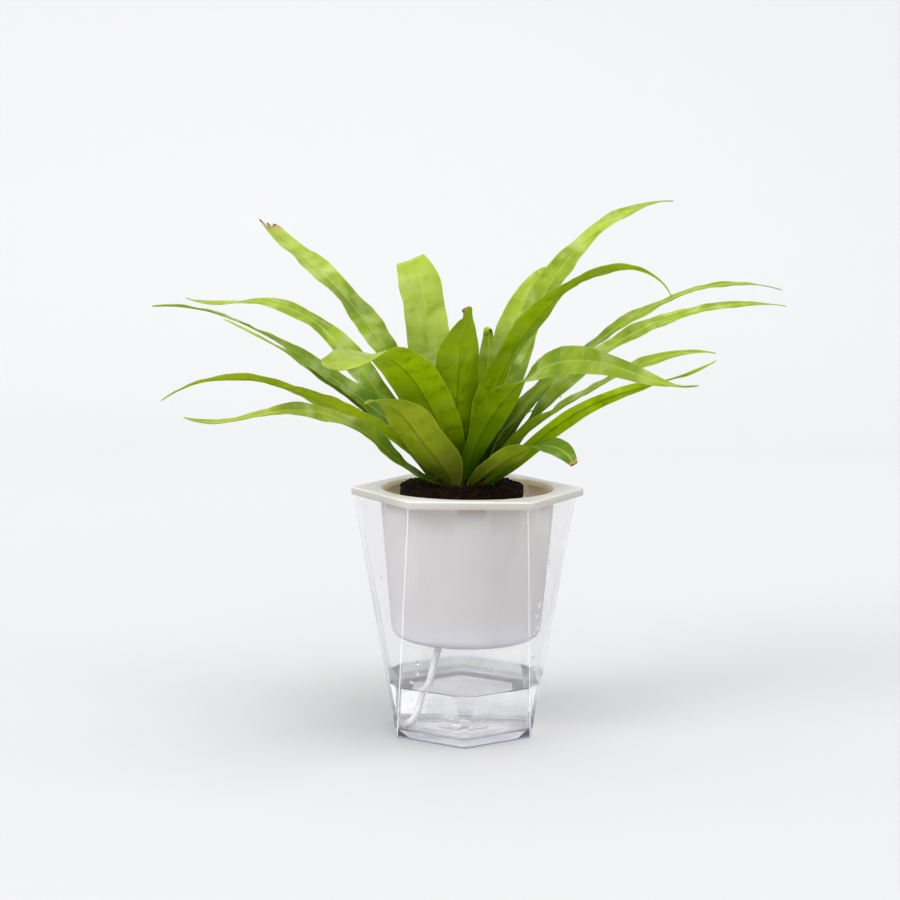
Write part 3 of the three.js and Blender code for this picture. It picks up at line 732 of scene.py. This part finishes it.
def make_vessel():
    wall = VESSEL_WALL
    base = vessel_ring(0, 0)
    # underside, slightly hollow inside a foot ring
    rings = [
        shrunk(base, share, height)
        for share, height in ((0.2, 0.6), (0.5, 0.6), (0.72, 0.55), (0.76, 0.0), (0.95, 0.0))
    ]
    for angle in (90, 60, 30, 0):
        s, c = sin_cos(angle)
        rings.append(vessel_ring(FOOT_EDGE * (1 - s), FOOT_EDGE * (1 - c)))
    rings.append(vessel_ring(VESSEL_HEIGHT - RIM_EDGE, 0))
    rings.append(vessel_ring(VESSEL_HEIGHT, RIM_EDGE))
    rings.append(vessel_ring(VESSEL_HEIGHT, wall - RIM_EDGE))
    rings.append(vessel_ring(VESSEL_HEIGHT - RIM_EDGE, wall))
    for angle in (0, 30, 60, 90):
        s, c = sin_cos(angle)
        rings.append(vessel_ring(VESSEL_FLOOR + FLOOR_EDGE * (1 - s), wall + FLOOR_EDGE * (1 - c)))
    floor = rings[-1]
    for radius, height, mix in FLOOR_MOULDING:
        rings.append(rounded_to(floor, radius, VESSEL_FLOOR + height, mix))
    points = [p for ring in rings for p in ring]
    faces = ring_faces(len(rings), len(base))
    vessel = new_object("vessel_shell", points, faces, [CLEAR], smooth=False)
    shine = [fold_line(r, i) for r in range(len(rings)) for i in range(len(base))]
    add_attribute(vessel, "fold", shine)
    add_attribute(vessel, "rim", [rim_line(r) for r in range(len(rings)) for _ in base])
    settle(vessel, "outer_vessel")


# Splashes on the wall above the water: direction, height and size of each
DROPLETS = [
    (-24, 116, 1.2), (-26, 113, 0.8), (-22, 106, 1.4), (-25, 104, 0.9), (-30, 81, 1.4),
    (-32, 75, 1.2), (-29, 67, 1.5), (-34, 64, 0.8), (-33, 49, 1.4), (-31, 43, 1.0),
    (-126, 49, 1.2), (-127, 43, 1.4), (-133, 37, 1.0), (-118, 40, 0.8), (-160, 96, 0.9),
    (-70, 47, 0.9),
]
DROPLET_SIDES = 12
DROPLET_RINGS = 7


def add_droplet(points, faces, angle, height, size):
    """Flat bead of water, half of it in the wall."""
    ring = vessel_ring(height, VESSEL_WALL)

    def turned_away(i):
        x, y, _ = ring[i]
        return abs((math.atan2(y, x) - angle + math.pi) % (2 * math.pi) - math.pi)

    near = min(range(len(ring)), key=turned_away)
    turn = math.radians(-90 + 30 * (near // (ARC + 1)))
    if math.sin(math.atan2(ring[near][1], ring[near][0]) - angle) < 0:
        turn += CORNER_TURN
    out = Vector((math.cos(turn), math.sin(turn), 0))
    reach = out.dot(Vector(ring[near]))
    radial = Vector((math.cos(angle), math.sin(angle), 0))
    place = radial * (reach / out.dot(radial)) + Vector((0, 0, height))
    along = Vector((-out.y, out.x, 0))
    first = len(points)
    count = DROPLET_SIDES
    for step in range(1, DROPLET_RINGS + 1):
        tilt = math.pi * step / (DROPLET_RINGS + 1)
        for i in range(count):
            a = 2 * math.pi * i / count
            flat = along * math.cos(a) + Vector((0, 0, 1.15)) * math.sin(a)
            spot = place + flat * size * math.sin(tilt) - out * 0.5 * size * math.cos(tilt)
            points.append(tuple(spot))
    faces.extend(tuple(first + i for i in face) for face in ring_faces(DROPLET_RINGS, count))


def make_water():
    """Water touches the wall, and creeps up it a little at its edge."""
    wall = VESSEL_WALL - OVERLAP
    bottom = VESSEL_FLOOR - OVERLAP
    floor = vessel_ring(bottom, wall + FLOOR_EDGE)
    rings = [shrunk(floor, 0.3, bottom), shrunk(floor, 0.7, bottom)]
    for angle in (90, 60, 30, 0):
        s, c = sin_cos(angle)
        rings.append(vessel_ring(bottom + FLOOR_EDGE * (1 - s), wall + FLOOR_EDGE * (1 - c)))
    rings.append(vessel_ring(WATER_LEVEL + 1.2, wall))
    for inset, height in ((0.35, 0.75), (0.8, 0.4), (1.5, 0.15), (2.6, 0.03), (4, 0)):
        rings.append(vessel_ring(WATER_LEVEL + height, wall + inset))
    top = rings[-1]
    for share in (0.8, 0.55, 0.3, 0.12):
        rings.append(shrunk(top, share, WATER_LEVEL))
    points = [p for ring in rings for p in ring]
    faces = ring_faces(len(rings), len(floor))
    for angle, height, size in DROPLETS:
        add_droplet(points, faces, math.radians(angle), height, size)
    water = new_object("water_body", points, faces, [WATER], smooth=False)
    settle(water, "water")


make_vessel()
make_water()


# Inner pot
MOUTH_EDGE = 1.2  # radius between the cup's inside and the flange
PLATE_EDGE = 0.7  # radius of the flange's upper edge
WALL_SHARES = (0.25, 0.5, 0.75, 1)


def flange_angles():
    """Directions of the points of each ring, closer together at the flange's corners."""
    found = []
    for k in range(6):
        for turn in (0, 0.35, 0.7, 1.1, 2.0, 4.5):
            found.append(60 * k + turn)
        found += [60 * k + 7.5 + 3 * i for i in range(16)]
        for turn in (4.5, 2.0, 1.1, 0.7, 0.35):
            found.append(60 * (k + 1) - turn)
    return [math.radians(a) for a in found]


def hexagon_reach(angle, corner, radius):
    """Distance to the edge of a hexagon with rounded corners, in a direction."""
    turn = angle % (math.pi / 3)
    turn = min(turn, math.pi / 3 - turn)
    cos30 = math.cos(math.pi / 6)
    middle = corner - radius / cos30
    if turn < math.atan2(radius * 0.5, middle + radius * cos30):
        return middle * math.cos(turn) + math.sqrt(radius**2 - (middle * math.sin(turn)) ** 2)
    return corner * cos30 / math.cos(math.pi / 6 - turn)


def make_inner_pot():
    angles = flange_angles()
    seat = VESSEL_HEIGHT + CLEARANCE
    rim = seat + FLANGE_LIP
    floor = POT_BOTTOM + POT_FLOOR
    inner = POT_EDGE - POT_WALL
    cos30 = math.cos(math.pi / 6)
    rings = []

    def circle(radius, height):
        rings.append([(radius * math.cos(a), radius * math.sin(a), height) for a in angles])

    def hexagon(inset, height, radius=2.2):
        corner = FLANGE_CORNER - inset / cos30
        reach = [hexagon_reach(a, corner, radius) for a in angles]
        rings.append([(r * math.cos(a), r * math.sin(a), height) for r, a in zip(reach, angles)])

    for radius in (3, 12, 24, 34):
        circle(radius, floor)
    foot = POT_FOOT - POT_EDGE
    for step in (90, 72, 54, 36, 18, 0):
        s, c = sin_cos(step)
        circle(foot + inner * c, floor + inner - inner * s)
    top = rim - MOUTH_EDGE
    for share in WALL_SHARES:
        radius = foot + inner + (POT_MOUTH - foot - inner) * share
        circle(radius, floor + inner + (top - floor - inner) * share)
    for step in (18, 36, 54, 72, 90):
        s, c = sin_cos(step)
        circle(POT_MOUTH + MOUTH_EDGE * (1 - c), top + MOUTH_EDGE * s)
    circle(POT_MOUTH + 3, rim)
    hexagon(3, rim)
    for step in (90, 60, 30, 0):
        s, c = sin_cos(step)
        hexagon(PLATE_EDGE * (1 - c), rim - PLATE_EDGE * (1 - s))
    hexagon(0, seat + 0.35)
    hexagon(0.3, seat)
    hexagon(LIP_WIDTH - 0.3, seat)
    hexagon(LIP_WIDTH, seat + 0.3)
    hexagon(LIP_WIDTH, rim - FLANGE_PLATE)
    # underside of the plate to the outside of the cup, then down
    outer = POT_MOUTH + POT_WALL
    under = rim - FLANGE_PLATE
    circle(outer - 0.1, under - 0.05)
    for share in WALL_SHARES:
        radius = outer - 0.1 + (POT_FOOT - outer + 0.1) * share
        circle(radius, under + (POT_BOTTOM + POT_EDGE - rim + FLANGE_PLATE) * share)
    for step in (15, 30, 45, 60, 75, 90):
        s, c = sin_cos(step)
        circle(foot + POT_EDGE * c, POT_BOTTOM + POT_EDGE * (1 - s))
    for radius in (34, 24, 12, 3):
        circle(radius, POT_BOTTOM)
    points = [(x + POT_SHIFT[0], y + POT_SHIFT[1], z) for ring in rings for x, y, z in ring]
    faces = ring_faces(len(rings), len(angles))
    pot = new_object("pot_shell", points, faces, [IVORY])
    hole = drum("hole_cutter", WICK_HOLE / 2, WICK_ROUTE[1][0], WICK_ROUTE[1][1], 50, 64)
    cut = pot.modifiers.new("wick_hole", "BOOLEAN")
    cut.operation = "DIFFERENCE"
    cut.solver = "EXACT"
    cut.object = hole
    apply_modifiers(pot)
    bpy.data.objects.remove(hole)
    settle(pot, "inner_pot")


def drum(name, radius, x, y, low, high, sides=32):
    points = []
    for z in (low, high):
        for i in range(sides):
            a = 2 * math.pi * i / sides
            points.append((x + radius * math.cos(a), y + radius * math.sin(a), z))
    return new_object(name, points, ring_faces(2, sides), [])


def apply_modifiers(piece):
    """Keeps the mesh that the piece's modifiers give."""
    bpy.context.view_layer.update()
    graph = bpy.context.evaluated_depsgraph_get()
    mesh = bpy.data.meshes.new_from_object(piece.evaluated_get(graph), depsgraph=graph)
    piece.modifiers.clear()
    old = piece.data
    piece.data = mesh
    bpy.data.meshes.remove(old)
    piece.data.name = piece.name


make_inner_pot()


# Root ball and crown
PLUG_LUMPS = ((0.9, 0.12), (0.8, 0.4), (0.55, 1.1))  # size in mm and how close together
SHOULDER = 5  # mm of the plug's top edge that are rounded off
WALL_ROWS = 20
TOP_ROWS = 42
CRUMBS = 900
CROWN_ROWS = 26
SCALES = 420
SHOULDER_FROM = ROOT_BALL["top"] - SHOULDER


def shoulder(radius):
    """How far the plug's top has rounded off there, from 0 to 1 at its edge."""
    return max(0, (radius - SHOULDER_FROM) / SHOULDER) ** 2


def make_root_ball():
    sides = 160
    bottom = POT_BOTTOM + POT_FLOOR + CLEARANCE
    wider = ROOT_BALL["top"] - ROOT_BALL["bottom"]
    points = []
    rows = []
    for k in range(WALL_ROWS + 1):
        share = k / WALL_ROWS
        height = bottom + (SOIL_LEVEL - 1.2 - bottom) * share
        rows.append((ROOT_BALL["bottom"] + wider * share, height, 1, 0))
    for k in range(1, TOP_ROWS):
        share = 1 - k / TOP_ROWS
        rows.append((ROOT_BALL["top"] * share, SOIL_LEVEL + 0.3, 0, 1))
    for radius, height, side, top in rows:
        for i in range(sides):
            a = 2 * math.pi * i / sides
            x, y = radius * math.cos(a), radius * math.sin(a)
            lump = sum(size * wave_noise(x * f, y * f, height * f) for size, f in PLUG_LUMPS)
            reach = radius + side * lump
            points.append((
                ROOT_BALL["x"] + reach * math.cos(a),
                ROOT_BALL["y"] + reach * math.sin(a),
                height + top * lump * 0.9 - shoulder(radius) * top * 1.1,
            ))
    faces = ring_faces(len(rows), sides)
    rng = random.Random(41)
    for _ in range(CRUMBS):
        a = rng.uniform(0, 2 * math.pi)
        r = ROOT_BALL["top"] * math.sqrt(rng.uniform(0.1, 1))
        size = rng.uniform(0.35, 1.1)
        x = ROOT_BALL["x"] + r * math.cos(a)
        y = ROOT_BALL["y"] + r * math.sin(a)
        z = SOIL_LEVEL + rng.uniform(-0.4, 0.5) - shoulder(r)
        add_crumb(points, faces, (x, y, z), size, rng)
    ball = new_object("peat_plug", points, faces, [PEAT])
    settle(ball, "root_ball")


CRUMB_POINTS = [
    (0, 0, -1), (0.8, 0.2, -0.4), (-0.2, 0.85, -0.45), (-0.8, -0.1, -0.35), (0.1, -0.85, -0.4),
    (0.55, 0.6, 0.4), (-0.6, 0.55, 0.45), (-0.5, -0.6, 0.4), (0.6, -0.5, 0.5), (0, 0, 0.95),
]
CRUMB_FACES = [
    (0, 2, 1), (0, 3, 2), (0, 4, 3), (0, 1, 4), (1, 2, 5), (2, 6, 5), (2, 3, 6), (3, 7, 6),
    (3, 4, 7), (4, 8, 7), (4, 1, 8), (1, 5, 8), (5, 6, 9), (6, 7, 9), (7, 8, 9), (8, 5, 9),
]


def add_crumb(points, faces, place, size, rng):
    start = len(points)
    x, y, z = place
    angle = rng.uniform(0, 6.3)
    axis = Vector((rng.gauss(0, 1), rng.gauss(0, 1), rng.gauss(0, 1))).normalized()
    turn = Matrix.Rotation(angle, 3, axis)
    for p in CRUMB_POINTS:
        q = turn @ (Vector(p) * size * rng.uniform(0.75, 1.25))
        points.append((x + q.x, y + q.y, z + 0.7 * q.z))
    faces.extend(tuple(start + i for i in f) for f in CRUMB_FACES)


def crown_rise(distance):
    return CROWN["rise"] * (1 - (distance / CROWN["radius"]) ** 2)


def make_crown():
    sides = 120
    rows = []
    for share in (0.3, 0.6, 0.7):
        rows.append((CROWN["radius"] * share, SOIL_LEVEL - CROWN["depth"]))
    rows.append((CROWN["radius"], SOIL_LEVEL - CROWN["depth"] / 2))
    rows.append((CROWN["radius"], SOIL_LEVEL - 1))
    buried = len(rows)
    for k in range(1, CROWN_ROWS):
        radius = CROWN["radius"] * (1 - k / CROWN_ROWS)
        rows.append((radius, SOIL_LEVEL + crown_rise(radius)))
    points = []
    for k, (radius, height) in enumerate(rows):
        for i in range(sides):
            a = 2 * math.pi * i / sides
            x, y = radius * math.cos(a), radius * math.sin(a)
            lump = 0.8 * wave_noise(x * 0.5, y * 0.5, 3) if k >= buried else 0
            points.append((CROWN["x"] + x, CROWN["y"] + y, height + lump))
    faces = ring_faces(len(rows), sides)
    rng = random.Random(77)
    for _ in range(SCALES):
        a = rng.uniform(0, 2 * math.pi)
        r = CROWN["radius"] * math.sqrt(rng.uniform(0.05, 1.1))
        add_scale(points, faces, a, r, rng)
    crown = new_object("crown_scales", points, faces, [RHIZOME])
    settle(crown, "crown")


def add_scale(points, faces, a, r, rng):
    """One narrow, pointed scale standing up and out from the crown."""
    start = len(points)
    out = Vector((math.cos(a), math.sin(a), 0))
    side = Vector((-math.sin(a), math.cos(a), 0))
    lean = rng.uniform(0.2, 0.9)
    tall = rng.uniform(2.5, 6)
    wide = rng.uniform(0.5, 1.1)
    side = (side + out * rng.uniform(-0.5, 0.5)).normalized()
    height = SOIL_LEVEL + crown_rise(min(r, CROWN["radius"])) - 0.8
    foot = Vector((CROWN["x"], CROWN["y"], height)) + out * r
    for k in range(4):
        t = k / 3
        at = foot + out * (lean * tall * t * t) + Vector((0, 0, tall * t * (1 - 0.3 * t)))
        half = wide * (1 - 0.85 * t)
        left, right = at - side * half, at + side * half
        points.extend([left, right, right - out * 0.25, left - out * 0.25])
    for k in range(3):
        b = start + 4 * k
        for i in range(4):
            j = (i + 1) % 4
            faces.append((b + i, b + j, b + 4 + j, b + 4 + i))
    faces.append((start + 3, start + 2, start + 1, start))
    faces.append((start + 12, start + 13, start + 14, start + 15))


make_root_ball()
make_crown()


# Fronds
ROWS = 90
ACROSS = [-1, -0.985, -0.9, -0.78, -0.64, -0.5, -0.36, -0.22, -0.1, -0.04, 0,
          0.04, 0.1, 0.22, 0.36, 0.5, 0.64, 0.78, 0.9, 0.985, 1]


def along_curve(values, t):
    """Value at share t of the polynomial through evenly spaced values."""
    last = len(values) - 1
    total = 0
    for i in range(last + 1):
        share = 1
        for j in range(last + 1):
            if j != i:
                share *= (t * last - j) / (i - j)
        total += values[i] * share
    return total


def frame_at(frond, t):
    """Directions along the blade, across it and out of its upper side."""
    heading = math.radians(along_curve(frond["heading"], t))
    climb = math.radians(along_curve(frond["climb"], t))
    roll = -math.radians(along_curve(frond["roll"], t))
    level = math.cos(climb)
    forward = Vector((level * math.cos(heading), level * math.sin(heading), math.sin(climb)))
    side = Vector((math.sin(heading), -math.cos(heading), 0))
    side = side * math.cos(roll) + forward.cross(side) * math.sin(roll)
    return forward, side, side.cross(forward)


def width_at(frond, t):
    foot = frond["foot"]
    grown = math.sin(math.pi / 2 * min(t / FULL_WIDTH_AT, 1))
    late = max(0, (t - frond["taper"]) / (1 - frond["taper"]))
    return (foot + (1 - foot) * grown) * (1 - (1 - frond["tip"]) * late ** frond["fall"])


def foot_of(frond):
    a = math.radians(frond["at"])
    r = frond["ring"]
    height = SOIL_LEVEL + crown_rise(r)
    return Vector((CROWN["x"] + r * math.cos(a), CROWN["y"] + r * math.sin(a), height))


# Torn end of one frond: place across the blade, from -1 to 1, and mm that it reaches there
TORN = [
    (-1.0, 6.5), (-0.72, 6), (-0.6, -2.5), (-0.45, -2), (-0.3, 3.5),
    (0.0, 3), (0.15, -1.5), (0.4, 1.5), (0.7, 1), (1.0, -2),
]
TORN_FROND = "frond_left_1"
TORN_FROM = 0.95


def torn_reach(u):
    for (a, low), (b, high) in zip(TORN, TORN[1:]):
        if u <= b:
            return low + (high - low) * (u - a) / (b - a)
    return TORN[-1][1]


# Fine waves of a blade: height and length of one in mm
CRINKLE = (0.5, 5.5)
PUCKER = (0.28, 7)
RUFFLE_LENGTH = 11
RIB_HALF = 0.75


def blade_row(frond, t, middle, side, up, seed):
    """Points of one row: upper face from left to right, then the lower face."""
    half = frond["width"] / 2 * width_at(frond, t)
    half *= 1 + 0.035 * wave_noise(t * 14, seed * 3.1, 0.5)
    fold = math.radians(frond["fold"] * (1 - t / 2))
    swell = math.sqrt(max(0, math.sin(math.pi * t)))
    reach = t * frond["length"]
    upper, lower = [], []
    for u in ACROSS:
        turn = frond["phase"] + (0 if u < 0 else EDGE_SHIFT)
        ripple = frond["wave"] * swell * u * u * math.sin(2 * math.pi * frond["waves"] * t + turn)
        place = seed * 7.3 + (u > 0) * 5
        crinkle = CRINKLE[0] * swell * abs(u) ** 3 * wave_noise(reach / CRINKLE[1], place, 1.5)
        pucker = PUCKER[0] * swell * wave_noise(reach / PUCKER[1], u * half / 5 + seed, 4.2)
        ruffle = frond["ruffle"] * swell * min(1, 2.5 * abs(u))
        pucker += ruffle * wave_noise(reach / RUFFLE_LENGTH, seed * 5.7 + (u > 0) * 9, 7.7)
        soft = math.sqrt(u * u + 0.006) - math.sqrt(0.006)
        lift = half * soft * math.sin(fold) + ripple + crinkle + pucker
        point = middle + side * (half * u * math.cos(fold)) + up * lift
        near = math.exp(-((u * half / RIB_HALF) ** 2))
        thin = 0.24 - 0.08 * abs(u)
        upper.append(point + up * (thin - 0.12 * near))
        lower.append(point - up * (thin + (0.75 - 0.5 * t) * near))
    return upper, lower


def blade_faces(rows):
    """Faces of a blade, and for each whether it has the upper (0) or lower (1) material."""
    count = len(ACROSS)
    faces, kinds = [], []
    for i in range(rows - 1):
        a, b = 2 * count * i, 2 * count * (i + 1)
        for j in range(count - 1):
            faces.append((a + j, a + j + 1, b + j + 1, b + j))
            faces.append((a + count + j, b + count + j, b + count + j + 1, a + count + j + 1))
            kinds += [0, 1]
        faces.append((a, b, b + count, a + count))
        faces.append((a + count - 1, a + 2 * count - 1, b + 2 * count - 1, b + count - 1))
        kinds += [0, 0]
    last = 2 * count * (rows - 1)
    for j in range(count - 1):
        faces.append((j, j + count, j + count + 1, j + 1))
        faces.append((last + j, last + j + 1, last + count + j + 1, last + count + j))
        kinds += [0, 0]
    return faces, kinds


def make_frond(name, frond, seed):
    points, leaf, mark = [], [], []
    place = foot_of(frond)
    start = frame_at(frond, 0)[0]
    step = frond["length"] / ROWS
    curl_at, curl_by, curl_aside = frond["curl"]
    # the first row is the foot in its socket
    for k in range(-1, ROWS + 1):
        t = max(k, 0) / ROWS
        forward, side, up = frame_at(frond, t)
        if t > curl_at:
            late = (t - curl_at) / (1 - curl_at)
            turn = Matrix.Rotation(math.radians(curl_aside * late), 3, up)
            turn = turn @ Matrix.Rotation(math.radians(curl_by * late), 3, side)
            forward, side, up = turn @ forward, turn @ side, turn @ up
        middle = place - start * SOCKET_DEPTH if k < 0 else place
        upper, lower = blade_row(frond, t, middle, side, up, seed)
        row = upper + lower
        if name == TORN_FROND and t > TORN_FROM:
            late = ((t - TORN_FROM) / (1 - TORN_FROM)) ** 2
            row = [p + forward * (torn_reach(u) * late) for u, p in zip(ACROSS + ACROSS, row)]
        points += row
        half = frond["width"] / 2 * width_at(frond, t)
        reach = -SOCKET_DEPTH if k < 0 else t * frond["length"]
        for u in ACROSS + ACROSS:
            leaf.append((u * half, reach, t))
            mark.append((u, age_of(frond, u, reach), frond["pale"]))
        if k >= 0:
            place = place + (forward if t > curl_at else frame_at(frond, t + 0.5 / ROWS)[0]) * step
    faces, kinds = blade_faces(ROWS + 2)
    piece = new_object(name + "_blade", points, faces, [LEAF_UPPER, LEAF_LOWER], indices=kinds)
    add_attribute(piece, "dull", [dull_of(name, frond, t) for _, _, t in leaf])
    add_attribute(piece, "leaf", leaf)
    add_attribute(piece, "mark", mark)
    settle(piece, name)


# These stand in the light. On all others the inner stretch gets painted shade, a deeper green.
FOREMOST = (
    "frond_front_left", "frond_front_right", "frond_right_3", "frond_arching_left", "frond_middle"
)
TURNED_FROM = 0.58  # the front tip is turned over from this share of its length


def dull_of(name, frond, t):
    """Above 0 the blade is olive. Below 0 it is deep green, partly its own tone and partly painted
    shade, as the turned-over front tip and the inner stretch in the shade are.
    """
    if name == "frond_front_right" and t > TURNED_FROM:
        return -min(0.75, (t - TURNED_FROM) * 10)
    inner = 0 if name in FOREMOST else 0.6 * max(0, 1 - t / 0.42)
    return frond["dull"] - inner


def age_of(frond, u, reach):
    """How withered the blade is: 0 is green and 1 is dark brown."""
    if not frond["brown"]:
        return 0
    left = frond["length"] - reach + 2 * wave_noise(u * 3, reach * 0.3, 8)
    return max(0, min(1, 1 - left / frond["brown"]))


for seed, (name, frond) in enumerate(FRONDS.items(), 1):
    make_frond(name, frond, seed)


# Studio
STAGE_HALF = 6000
SWEEP = 1500  # radius of the curve from the floor up into the backdrop


def make_stage():
    """Pale floor that curves up into the backdrop."""
    rows = [(y, 0) for y in (-STAGE_HALF, -2000, 0, SWEEP)]
    for step in range(0, 91, 6):
        s, c = sin_cos(step)
        rows.append((SWEEP + SWEEP * s, SWEEP - SWEEP * c))
    rows.append((2 * SWEEP, STAGE_HALF))
    points = [(x, y, z) for y, z in rows for x in (-STAGE_HALF, STAGE_HALF)]
    faces = [(2 * i, 2 * i + 1, 2 * i + 3, 2 * i + 2) for i in range(len(rows) - 1)]
    new_object("studio_floor", points, faces, [STUDIO])


def add_light(name, place, size, power, glossy, colour):
    """Soft rectangular light aimed at the plant. Without glossy it lights, but isn't mirrored."""
    data = bpy.data.lights.new(name, "AREA")
    data.shape = "RECTANGLE"
    data.size, data.size_y = size
    data.energy = power
    data.color = colour
    light = bpy.data.objects.new(name, data)
    bpy.context.scene.collection.objects.link(light)
    light.location = place
    aim = Vector((0, 0, 0.18)) - Vector(place)
    light.rotation_euler = aim.to_track_quat("-Z", "Y").to_euler()
    light.visible_glossy = glossy


def make_world():
    world = bpy.data.worlds.new("studio_world")
    bpy.context.scene.world = world
    world.use_nodes = True
    back = world.node_tree.nodes["Background"]
    back.inputs["Color"].default_value = (0.985, 0.99, 1, 1)
    back.inputs["Strength"].default_value = 0.95


bpy.context.scene.view_settings.view_transform = "Standard"
bpy.context.scene.view_settings.look = "Medium High Contrast"
make_stage()
make_world()
add_light("key", (-2.9, -1.8, 2.2), (1.7, 1.4), 56, True, (1, 0.99, 0.98))
add_light("top", (0.5, -0.5, 3.2), (2.0, 1.0), 33, True, (1, 1, 1))
add_light("fill", (2.7, -1.5, 1.3), (1.2, 1.0), 9, False, (1, 1, 1))
add_light("front", (0.3, -2.6, 1.1), (1.4, 1.0), 4, True, (1, 0.99, 0.99))
